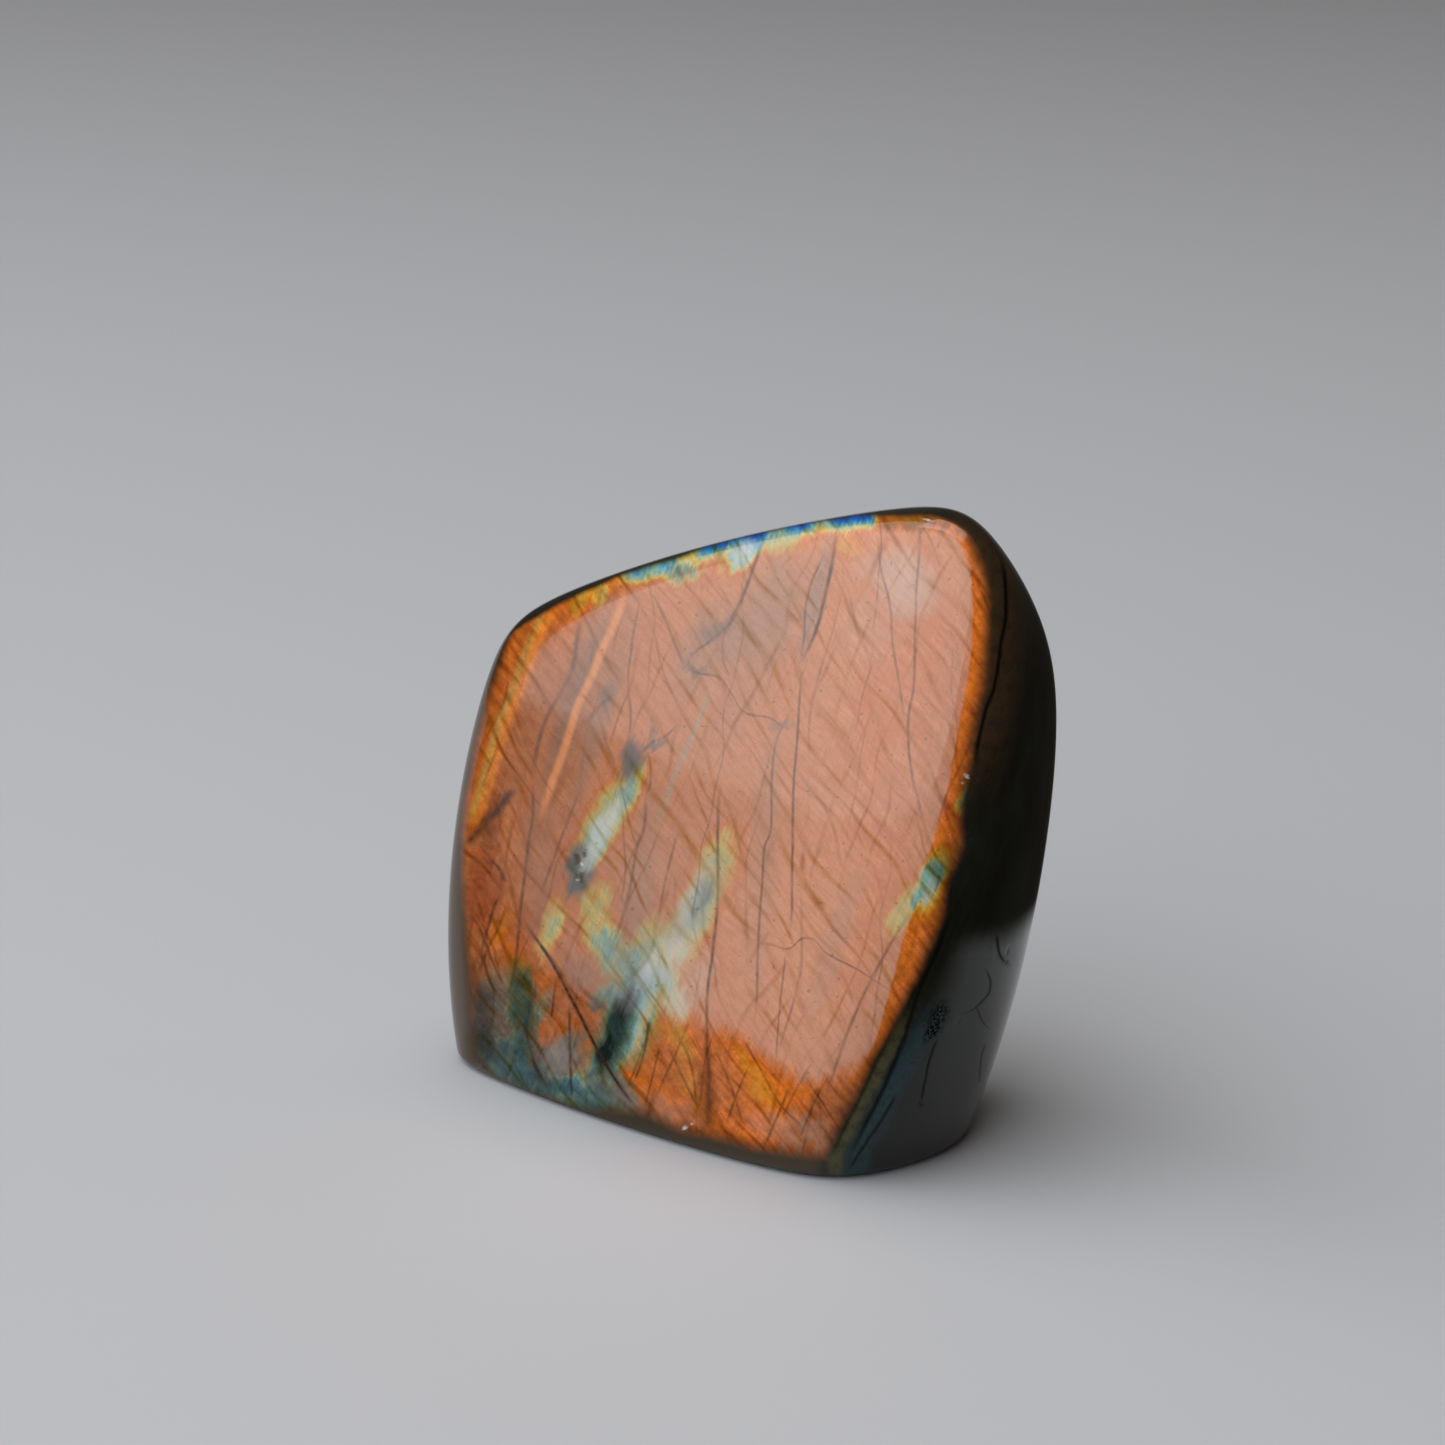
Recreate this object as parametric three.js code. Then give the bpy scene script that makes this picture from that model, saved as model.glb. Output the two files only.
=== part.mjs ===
// A labradorite freeform: one natural stone, ground by hand into broad crowned faces that run
// softly into each other, polished all over, and cut flat underneath so that it stands.
//
// Millimetres, +Z up. The origin lies on the flat base, below the stone's centre of mass.
// The flash face looks toward -Y and leans back, the dark blunt end is toward +X, and the
// back slopes up to a narrow ridge.

import * as THREE from 'three';

// Driving dimensions.
const HEART_HEIGHT = 46;          // the point inside the stone that every face is measured from
const HALF_WIDTH = 50;            // rough half sizes, which only set how the mesh points are spread
const HALF_DEPTH = 26;
const CAP_HEIGHT = 56;
const FOOT_ROUND = 1.8;           // radius of the eased edge around the flat base

// Crown: the radius of the gentle dome that polishing leaves on a face.
const FACE_CROWN = 280;
const SIDE_CROWN = 250;
const CORNER_CROWN = 180;

// Softness: how far a face melts into its neighbours. The arris radius is about 1.4 times this.
const CRISP = 2.5;
const EASED = 3.5;
const SOFT = 4.5;

// Mesh: points around the stone, and rows on the foot's round, the lower sides and the cap.
const COLUMNS = 84;
const FOOT_ROWS = 3;
const SIDE_ROWS = 9;
const CAP_ROWS = 24;

const SEARCH_REACH = 120;         // farther from the heart than any point of the stone
const SEARCH_STEPS = 40;          // halvings, far finer than a 32-bit vertex can hold

// Each ground face: the bearing it looks to (degrees from +X toward +Y), its tilt upward,
// how far it lies from the heart, its crown and its softness.
const GROUND_FACES = [
  { name: 'flash face', bearing: -90, tilt: 10, reach: 27.5, crown: FACE_CROWN, soft: SOFT },
  { name: 'flash face, lower', bearing: -95, tilt: -3, reach: 30, crown: FACE_CROWN, soft: SOFT },
  { name: 'right end', bearing: 8, tilt: -4, reach: 46.5, crown: SIDE_CROWN, soft: CRISP },
  { name: 'right end, lower', bearing: -28, tilt: -14, reach: 47, crown: SIDE_CROWN, soft: EASED },
  { name: 'right back corner', bearing: 34, tilt: -10, reach: 43, crown: SIDE_CROWN, soft: EASED },
  { name: 'right shoulder', bearing: 50, tilt: 26, reach: 51, crown: CORNER_CROWN, soft: CRISP },
  { name: 'ridge', bearing: 155, tilt: 64, reach: 42.5, crown: FACE_CROWN, soft: CRISP },
  { name: 'left shoulder', bearing: 111, tilt: 36, reach: 50.5, crown: CORNER_CROWN, soft: EASED },
  { name: 'left end', bearing: 189, tilt: 14, reach: 48.5, crown: SIDE_CROWN, soft: CRISP },
  { name: 'left front corner', bearing: 225, tilt: -6, reach: 59.5, crown: SIDE_CROWN, soft: CRISP },
  { name: 'left heel', bearing: 108, tilt: -30, reach: 53.5, crown: CORNER_CROWN, soft: EASED },
  { name: 'back', bearing: 100, tilt: 0, reach: 24, crown: SIDE_CROWN, soft: SOFT },
  { name: 'back, upper', bearing: 102, tilt: 22, reach: 35.5, crown: SIDE_CROWN, soft: SOFT },
];

const heart = new THREE.Vector3(0, 0, HEART_HEIGHT);

// A crowned face is part of a large sphere, whose centre lies far behind it.
const domes = GROUND_FACES.map((face) => {
  const bearing = THREE.MathUtils.degToRad(face.bearing);
  const tilt = THREE.MathUtils.degToRad(face.tilt);
  const outward = new THREE.Vector3(
    Math.cos(tilt) * Math.cos(bearing),
    Math.cos(tilt) * Math.sin(bearing),
    Math.sin(tilt),
  );
  const centre = heart.clone().addScaledVector(outward, face.reach - face.crown);
  return { centre, crown: face.crown, soft: face.soft };
});

// The larger of two distances, with the corner between them eased over a width of soft.
function softMax(a, b, soft) {
  return Math.max(a, b) + soft * Math.log1p(Math.exp(-Math.abs(a - b) / soft));
}

// How far the foot's round draws the sides in at a height: a quarter circle.
function footInset(height) {
  const below = Math.max(0, FOOT_ROUND - height);
  return FOOT_ROUND - Math.sqrt(Math.max(0, FOOT_ROUND ** 2 - below ** 2));
}

// Below zero inside the stone and above zero outside it.
function outside(point) {
  let distance = -Infinity;
  for (const dome of domes) {
    const toDome = point.distanceTo(dome.centre) - dome.crown;
    distance = distance === -Infinity ? toDome : softMax(distance, toDome, dome.soft);
  }
  return distance + footInset(point.z);
}

// The point of the stone's skin that a ray from inside it meets.
function skinPoint(start, direction) {
  let near = 0;
  let far = SEARCH_REACH;
  const point = new THREE.Vector3();
  for (let step = 0; step < SEARCH_STEPS; step += 1) {
    const middle = (near + far) / 2;
    point.copy(start).addScaledVector(direction, middle);
    if (outside(point) > 0) far = middle;
    else near = middle;
  }
  return point;
}

// The rows of skin points: level rays up to the heart's height, then rays that rise to the top.
function rowStarts() {
  const rows = [];
  for (let i = 0; i < FOOT_ROWS; i += 1) {
    const turn = (i / FOOT_ROWS) * (Math.PI / 2);
    rows.push({ height: FOOT_ROUND * (1 - Math.cos(turn)), rise: 0 });
  }
  for (let i = 0; i < SIDE_ROWS; i += 1) {
    rows.push({ height: THREE.MathUtils.lerp(FOOT_ROUND, HEART_HEIGHT, i / SIDE_ROWS), rise: 0 });
  }
  for (let i = 0; i < CAP_ROWS; i += 1) {
    rows.push({ height: HEART_HEIGHT, rise: (i / CAP_ROWS) * (Math.PI / 2) });
  }
  return rows;
}

function stoneGeometry() {
  const rows = rowStarts();
  const points = [];
  for (const row of rows) {
    const start = new THREE.Vector3(0, 0, row.height);
    for (let column = 0; column < COLUMNS; column += 1) {
      const around = (column / COLUMNS) * 2 * Math.PI;
      const direction = new THREE.Vector3(
        HALF_WIDTH * Math.cos(row.rise) * Math.cos(around),
        HALF_DEPTH * Math.cos(row.rise) * Math.sin(around),
        CAP_HEIGHT * Math.sin(row.rise),
      ).normalize();
      points.push(skinPoint(start, direction));
    }
  }
  const top = points.length;
  points.push(skinPoint(heart, new THREE.Vector3(0, 0, 1)));
  const baseCentre = points.length;
  points.push(new THREE.Vector3(0, 0, 0));

  const triangles = [];
  const lastRow = (rows.length - 1) * COLUMNS;
  for (let column = 0; column < COLUMNS; column += 1) {
    const next = (column + 1) % COLUMNS;
    triangles.push(baseCentre, next, column);
    for (let row = 0; row < lastRow; row += COLUMNS) {
      triangles.push(row + column, row + next, row + COLUMNS + next);
      triangles.push(row + column, row + COLUMNS + next, row + COLUMNS + column);
    }
    triangles.push(lastRow + column, lastRow + next, top);
  }

  const geometry = new THREE.BufferGeometry().setFromPoints(points);
  geometry.setIndex(triangles);
  geometry.computeVertexNormals();
  return geometry;
}

const polishedStone = new THREE.MeshStandardMaterial({
  color: 0xb07850,                // the copper-orange flash over a grey-green body
  roughness: 0.12,
  metalness: 0,
});

const labradorite = new THREE.Mesh(stoneGeometry(), polishedStone);
labradorite.name = 'labradorite';

const group = new THREE.Group();
group.add(labradorite);

export default group;
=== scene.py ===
import math
from functools import reduce
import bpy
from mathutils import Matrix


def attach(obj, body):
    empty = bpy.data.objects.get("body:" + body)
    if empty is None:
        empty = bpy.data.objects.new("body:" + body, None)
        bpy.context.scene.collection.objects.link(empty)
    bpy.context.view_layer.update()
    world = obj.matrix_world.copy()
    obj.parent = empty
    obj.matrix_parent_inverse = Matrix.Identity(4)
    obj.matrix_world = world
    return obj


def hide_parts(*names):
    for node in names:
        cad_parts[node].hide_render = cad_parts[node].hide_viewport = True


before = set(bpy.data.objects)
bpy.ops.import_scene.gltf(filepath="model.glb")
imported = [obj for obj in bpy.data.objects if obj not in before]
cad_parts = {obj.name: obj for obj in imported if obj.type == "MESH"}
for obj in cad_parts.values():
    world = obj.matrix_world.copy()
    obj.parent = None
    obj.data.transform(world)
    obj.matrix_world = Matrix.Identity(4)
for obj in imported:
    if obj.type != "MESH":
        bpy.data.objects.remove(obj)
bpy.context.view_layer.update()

from types import SimpleNamespace

import bpy
import numpy as np
from mathutils import Vector

MM = 0.001

# --------------------
# The stone's shape, in millimetres: the same ground faces as the CAD solid, on a finer mesh.

HEART_HEIGHT = 46
HALF_WIDTH = 50
HALF_DEPTH = 26
CAP_HEIGHT = 56
FOOT_ROUND = 1.8

# The radii of the crowned faces, and how softly one runs into the next.
FACE_CROWN = 280
SIDE_CROWN = 250
CORNER_CROWN = 180
CRISP = 2.5
EASED = 3.5
SOFT = 4.5

# Bearing (degrees from +X toward +Y), tilt upward, distance from the heart, crown, softness.
GROUND_FACES = {
    "flash face": (-90, 10, 27.5, FACE_CROWN, SOFT),
    "flash face, lower": (-95, -3, 30, FACE_CROWN, SOFT),
    "right end": (8, -4, 46.5, SIDE_CROWN, CRISP),
    "right end, lower": (-28, -14, 47, SIDE_CROWN, EASED),
    "right back corner": (34, -10, 43, SIDE_CROWN, EASED),
    "right shoulder": (50, 26, 51, CORNER_CROWN, CRISP),
    "ridge": (155, 64, 42.5, FACE_CROWN, CRISP),
    "left shoulder": (111, 36, 50.5, CORNER_CROWN, EASED),
    "left end": (189, 14, 48.5, SIDE_CROWN, CRISP),
    "left front corner": (225, -6, 59.5, SIDE_CROWN, CRISP),
    "left heel": (108, -30, 53.5, CORNER_CROWN, EASED),
    "back": (100, 0, 24, SIDE_CROWN, SOFT),
    "back, upper": (102, 22, 35.5, SIDE_CROWN, SOFT),
}

# The mesh's columns and rows, and the search for the skin along a ray: its reach and halvings.
COLUMNS = 420
FOOT_ROWS = 6
SIDE_ROWS = 70
CAP_ROWS = 150
SEARCH_REACH = 120
SEARCH_STEPS = 22

# The photograph's camera: bearing (degrees from -Y toward +X), rise, and its distance from the
# point that it looks at, in millimetres.
PHOTO_SIZE = 1445
CAMERA_BEARING = 32.3
CAMERA_RISE = 17.75
CAMERA_DISTANCE = 635
CAMERA_TARGET = np.array([-11.2, 4.4, 59.1])
SENSOR_WIDTH = 36
LENS = 102

# Small natural pits in the polish: photo pixel, radius and depth in millimetres.
PITS = {
    "inclusion, upper": ((579, 863), 1.1, 0.25),
    "inclusion, lower": ((580, 878), 0.9, 0.2),
    "arris chip": ((967, 776), 0.8, 0.25),
    "foot chip": ((686, 1126), 0.7, 0.2),
    "side pit, high": ((1007, 950), 0.5, 0.15),
    "side pit, low": ((958, 1021), 0.5, 0.15),
}


def direction(bearing, rise):
    bearing, rise = math.radians(bearing), math.radians(rise)
    level = math.cos(rise)
    return np.array([level * math.cos(bearing), level * math.sin(bearing), math.sin(rise)])


def soft_max(a, b, soft):
    return np.maximum(a, b) + soft * np.log1p(np.exp(-np.abs(a - b) / soft))


def outside(points):
    """Below zero inside the stone and above zero outside it."""
    heart = np.array([0, 0, HEART_HEIGHT])
    distance = None
    for bearing, tilt, reach, crown, soft in GROUND_FACES.values():
        centre = heart + direction(bearing, tilt) * (reach - crown)
        to_dome = np.linalg.norm(points - centre, axis=-1) - crown
        distance = to_dome if distance is None else soft_max(distance, to_dome, soft)
    below = np.clip(FOOT_ROUND - points[..., 2], 0, FOOT_ROUND)
    return distance + FOOT_ROUND - np.sqrt(FOOT_ROUND**2 - below**2)


def skin_points(starts, directions):
    """Where rays from inside the stone meet its skin."""
    near = np.zeros(len(starts))
    far = np.full(len(starts), SEARCH_REACH)
    for _ in range(SEARCH_STEPS):
        middle = (near + far) / 2
        out = outside(starts + directions * middle[:, None]) > 0
        far = np.where(out, middle, far)
        near = np.where(out, near, middle)
    return starts + directions * near[:, None]


def stone_points():
    turn = np.arange(FOOT_ROWS) / FOOT_ROWS * math.pi / 2
    foot = FOOT_ROUND * (1 - np.cos(turn))
    sides = np.linspace(FOOT_ROUND, HEART_HEIGHT, SIDE_ROWS, endpoint=False)
    low_heights = np.concatenate([foot, sides])
    rises = np.arange(CAP_ROWS) / CAP_ROWS * math.pi / 2
    heights = np.concatenate([low_heights, np.full(CAP_ROWS, HEART_HEIGHT)])
    rises = np.concatenate([np.zeros(len(low_heights)), rises])
    around = np.arange(COLUMNS) / COLUMNS * 2 * math.pi
    rise, turn = np.meshgrid(rises, around, indexing="ij")
    directions = np.stack([
        HALF_WIDTH * np.cos(rise) * np.cos(turn),
        HALF_DEPTH * np.cos(rise) * np.sin(turn),
        CAP_HEIGHT * np.sin(rise),
    ], axis=-1).reshape(-1, 3)
    directions /= np.linalg.norm(directions, axis=1, keepdims=True)
    starts = np.zeros_like(directions)
    starts[:, 2] = np.repeat(heights, COLUMNS)
    skin = skin_points(starts, directions)
    top = skin_points(np.array([[0, 0, HEART_HEIGHT]]), np.array([[0, 0, 1]]))
    return np.concatenate([skin, top, [[0, 0, 0]]]), len(heights)


def stone_faces(rows):
    top = rows * COLUMNS
    base = top + 1
    column = np.arange(COLUMNS)
    next_column = (column + 1) % COLUMNS
    faces = [(base, b, a) for a, b in zip(column, next_column)]
    for row in range(rows - 1):
        low, high = row * COLUMNS, (row + 1) * COLUMNS
        faces += [(low + a, low + b, high + b, high + a) for a, b in zip(column, next_column)]
    last = (rows - 1) * COLUMNS
    faces += [(last + a, last + b, top) for a, b in zip(column, next_column)]
    return [tuple(int(i) for i in face) for face in faces]


# --------------------
# The photograph's view of the stone, which turns its pixels into places on the skin.

toward_camera = direction(CAMERA_BEARING - 90, CAMERA_RISE)
camera_right = direction(CAMERA_BEARING, 0)
camera_up = np.cross(toward_camera, camera_right)
camera_place = CAMERA_TARGET + toward_camera * CAMERA_DISTANCE
FOCAL_PIXELS = LENS / SENSOR_WIDTH * PHOTO_SIZE


def photo_pixels(points):
    """The photo pixel at which each point of the stone is seen."""
    away = points - camera_place
    depth = -(away @ toward_camera)
    across = PHOTO_SIZE / 2 + FOCAL_PIXELS * (away @ camera_right) / depth
    down = PHOTO_SIZE / 2 - FOCAL_PIXELS * (away @ camera_up) / depth
    return np.stack([across, down], axis=-1)


def dent(points, pixels, facing):
    """Sinks the small pits into the skin, toward the heart."""
    heart = np.array([0, 0, HEART_HEIGHT])
    inward = heart - points
    inward /= np.linalg.norm(inward, axis=1, keepdims=True)
    for pixel, radius, depth in PITS.values():
        apart = np.linalg.norm(pixels - pixel, axis=1) + 1000 * (facing < 0)
        centre = points[np.argmin(apart)]
        share = np.linalg.norm(points - centre, axis=1) / radius
        points += inward * (depth * np.clip(1 - share**2, 0, 1) ** 2)[:, None]
    return points


def vertex_normals(mesh):
    normals = np.empty(len(mesh.vertices) * 3, dtype=np.float32)
    mesh.vertex_normals.foreach_get("vector", normals)
    return normals.reshape(-1, 3)


def add_piece(name, points, faces, material):
    """A mesh object, from points in millimetres."""
    mesh = bpy.data.meshes.new(name)
    mesh.from_pydata(np.array(points) * MM, [], faces)
    mesh.materials.append(material)
    piece = bpy.data.objects.new(name, mesh)
    bpy.context.scene.collection.objects.link(piece)
    return piece


def make_stone():
    points, rows = stone_points()
    stone = add_piece("polished_labradorite", points, stone_faces(rows), stone_material())
    mesh = stone.data
    to_camera = camera_place - points
    to_camera /= np.linalg.norm(to_camera, axis=1, keepdims=True)
    facing = np.sum(vertex_normals(mesh) * to_camera, axis=1)
    pixels = photo_pixels(points)
    mesh.vertices.foreach_set("co", (dent(points, pixels, facing) * MM).ravel())
    mesh.polygons.foreach_set("use_smooth", [True] * len(mesh.polygons))
    # Each skin point carries the photo pixel that shows it and how far it faces that way,
    # so that markings can be placed by the pixels where they were seen. These are fixed
    # numbers of the mesh: nothing reads the camera that renders it.
    sighting = mesh.attributes.new("sighting", "FLOAT_VECTOR", "POINT")
    sighting.data.foreach_set("vector", np.column_stack([pixels, facing]).astype(np.float32).ravel())
    mesh.update()
    return stone


# --------------------
# Material arithmetic: a Wire is a number or colour in the node tree.

class Wire:
    def __init__(self, socket):
        self.socket = socket

    def __add__(self, other):
        return math_node("ADD", self, other)

    def __sub__(self, other):
        return math_node("SUBTRACT", self, other)

    def __rsub__(self, other):
        return math_node("SUBTRACT", other, self)

    def __mul__(self, other):
        return math_node("MULTIPLY", self, other)

    def __truediv__(self, other):
        return math_node("DIVIDE", self, other)

    __radd__ = __add__
    __rmul__ = __mul__


# The node tree that is being built.
tree = None


def start_material(name):
    """A new material, whose empty node tree is the one that is built next."""
    global tree
    material = bpy.data.materials.new(name)
    material.use_nodes = True
    tree = material.node_tree
    tree.nodes.clear()
    return material


def node(kind, **settings):
    made = tree.nodes.new(kind)
    for name, value in settings.items():
        setattr(made, name, value)
    return made


def feed(socket, value):
    if isinstance(value, Wire):
        tree.links.new(value.socket, socket)
    else:
        socket.default_value = value


def wire_from(kind, values, output=0, **settings):
    """A new node with its first inputs fed in order, as the Wire of one of its outputs."""
    made = node(kind, **settings)
    for socket, value in zip(made.inputs, values):
        feed(socket, value)
    return Wire(made.outputs[output])


def math_node(operation, *values):
    return wire_from("ShaderNodeMath", values, operation=operation)


def absolute(value):
    return math_node("ABSOLUTE", value)


def largest(*values):
    return reduce(lambda a, b: math_node("MAXIMUM", a, b), values)


def smallest(*values):
    return reduce(lambda a, b: math_node("MINIMUM", a, b), values)


def ramp(value, low, high, out_low=0, out_high=1):
    """Goes from out_low at low to out_high at high, easing between. low may be the larger."""
    values = (value, low, high, out_low, out_high)
    return wire_from("ShaderNodeMapRange", values, interpolation_type="SMOOTHSTEP", clamp=False)


def band(value, middle, outer, inner):
    """1 within inner of the middle, and 0 from outer on."""
    return ramp(absolute(value - middle), outer, inner)


def share_along(value, low, high):
    """0 at low and 1 at high, and on in a straight line beyond them."""
    return math_node("MULTIPLY_ADD", value, 1 / (high - low), -low / (high - low))


def vector(x, y, z):
    return wire_from("ShaderNodeCombineXYZ", (x, y, z))


def dot(a, b):
    return wire_from("ShaderNodeVectorMath", (a, b), "Value", operation="DOT_PRODUCT")


def parts_of(wire):
    made = node("ShaderNodeSeparateXYZ")
    feed(made.inputs[0], wire)
    return [Wire(socket) for socket in made.outputs]


def noise(place, scale, detail=2, roughness=0.5):
    """Smooth noise from about 0 to 1, with features about 1/scale across."""
    made = node("ShaderNodeTexNoise", noise_dimensions="3D")
    feed(made.inputs["Vector"], place)
    made.inputs["Scale"].default_value = scale
    made.inputs["Detail"].default_value = detail
    made.inputs["Roughness"].default_value = roughness
    return Wire(made.outputs["Fac"])


def curve_along(share, points):
    """A smooth curve through (in, out) points, level beyond its ends. share is 0 to 1 along it."""
    points = sorted(points)
    first, last = points[0][0], points[-1][0]
    out_low = min(out for _, out in points)
    span = max(out for _, out in points) - out_low
    made = node("ShaderNodeFloatCurve")
    made.mapping.extend = "HORIZONTAL"
    line = made.mapping.curves[0]
    places = [((at - first) / (last - first), (out - out_low) / span) for at, out in points]
    line.points[0].location = places[0]
    line.points[1].location = places[-1]
    for place in places[1:-1]:
        line.points.new(*place)
    for point in line.points:
        point.handle_type = "AUTO_CLAMPED"
    made.mapping.update()
    feed(made.inputs["Value"], share)
    return math_node("MULTIPLY_ADD", Wire(made.outputs[0]), span, out_low)


def curve(value, points):
    """A smooth curve through (in, out) points, level beyond its ends."""
    ins = [at for at, _ in points]
    return curve_along(share_along(value, min(ins), max(ins)), points)


def linear(colour):
    """A linear colour from an sRGB one of 0 to 255."""
    parts = [c / 255 for c in colour]
    return tuple(c / 12.92 if c < 0.04045 else ((c + 0.055) / 1.055) ** 2.4 for c in parts) + (1,)


def mix(share, a, b, blend="MIX"):
    """Goes from colour a to b. Each is a Wire or an sRGB colour of 0 to 255."""
    made = node("ShaderNodeMix", data_type="RGBA", blend_type=blend, clamp_factor=True)
    feed(made.inputs["Factor"], share)
    sockets = [socket for socket in made.inputs if socket.type == "RGBA"]
    for socket, colour in zip(sockets, (a, b)):
        feed(socket, linear(colour) if isinstance(colour, tuple) else colour)
    return Wire([socket for socket in made.outputs if socket.type == "RGBA"][0])


def scaled(colour, amount):
    """A colour made brighter or darker by a number."""
    made = node("ShaderNodeVectorMath", operation="SCALE")
    feed(made.inputs[0], colour)
    feed(made.inputs["Scale"], amount)
    return Wire(made.outputs[0])


def object_place():
    """The place on the object, in millimetres."""
    coordinates = node("ShaderNodeTexCoord")
    return scaled(Wire(coordinates.outputs["Object"]), 1 / MM)


def colour_ramp(value, stops):
    made = node("ShaderNodeValToRGB")
    elements = made.color_ramp.elements
    while len(elements) > 1:
        elements.remove(elements[-1])
    elements[0].position = stops[0][0]
    elements[0].color = linear(stops[0][1])
    for position, colour in stops[1:]:
        elements.new(position).color = linear(colour)
    feed(made.inputs[0], value)
    return Wire(made.outputs[0])


def blend_shaders(share, first, second):
    """The surface goes from the first shader to the second as share goes from 0 to 1."""
    blend = node("ShaderNodeMixShader")
    feed(blend.inputs[0], share)
    tree.links.new(first.outputs[0], blend.inputs[1])
    tree.links.new(second.outputs[0], blend.inputs[2])
    output = node("ShaderNodeOutputMaterial")
    tree.links.new(blend.outputs[0], output.inputs["Surface"])


# --------------------
# What the photograph shows, by listed pixels.

# Near the middle of the face, and the length that ovals are measured in.
FACE_MIDDLE = (750, 830)
OVAL_UNIT = 100

# The flash face's edges. Beyond them the surface turns away and only the dark stone shows.
FLASH_TOP = [
    (505, 640), (520, 624), (540, 612), (560, 600), (580, 591), (600, 583), (620, 573), (640, 566),
    (660, 561), (680, 555), (700, 547), (720, 540), (740, 534), (760, 531), (780, 526), (800, 521),
    (820, 518), (840, 516), (860, 513), (890, 513), (920, 512), (945, 516), (960, 524), (975, 540),
    (990, 575),
]
FLASH_RIGHT = [
    (530, 964), (560, 978), (600, 986), (640, 985), (680, 981), (720, 975), (760, 967), (800, 960),
    (840, 959), (880, 947), (920, 938), (960, 923), (1000, 904), (1040, 883), (1080, 862), (1120, 841),
    (1155, 822),
]
FLASH_LEFT = [
    (600, 552), (612, 534), (625, 520), (640, 511), (680, 495), (720, 484), (760, 475), (800, 468),
    (833, 465), (870, 465), (920, 467), (960, 470), (1000, 473), (1040, 476), (1070, 480),
]
FLASH_BOTTOM = [
    (470, 1064), (490, 1077), (520, 1089), (550, 1099), (580, 1107), (610, 1109), (640, 1112),
    (660, 1120), (680, 1129), (720, 1138), (760, 1148), (800, 1154), (830, 1156),
]

# The clean sheet of light on the face is a painted reflection, laid over the real one; it stops short of
# its rims, where the colour is deeper.
SHEEN_RIGHT = [
    (535, 955), (560, 966), (600, 973), (640, 972), (680, 968), (720, 960), (760, 953), (800, 944),
    (855, 930), (905, 915), (950, 901), (1000, 887), (1040, 876), (1070, 862),
]
SHEEN_LEFT = [
    (580, 628), (600, 604), (615, 585), (630, 566), (645, 550), (690, 524), (750, 510), (800, 500),
    (850, 504), (900, 514), (950, 534), (1000, 576),
]
SHEEN_BOTTOM = [
    (540, 960), (600, 1000), (660, 1016), (690, 1024), (735, 1035), (760, 1052), (790, 1074),
    (815, 1081), (840, 1074), (870, 1058),
]

# Long narrow bands that follow the crystal's twin planes.
GOLD_RIBBON = [(548, 610), (529, 655), (516, 692), (502, 728), (493, 760), (484, 792), (474, 822)]
ORANGE_RIBBON = [
    (628, 584), (613, 627), (603, 647), (592, 676), (577, 708), (569, 734), (560, 761), (550, 789),
    (541, 822),
]
PALE_RIBBON = [(716, 674), (708, 694), (697, 725), (686, 750), (676, 773), (655, 834)]

# How blue the top rim runs, along its length: x pixel, amount.
TOP_RIM_BLUE = [
    (560, 0), (600, 0.12), (622, 0.35), (636, 0.75), (652, 0.6), (668, 0.72), (686, 0.4), (696, 0.55),
    (708, 0.95), (722, 1), (740, 0.85), (758, 1), (767, 0.8), (779, 0.6), (788, 0.95), (806, 1),
    (820, 0.6), (832, 0.9), (846, 1), (866, 1), (876, 0.3), (884, 0),
]

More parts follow.
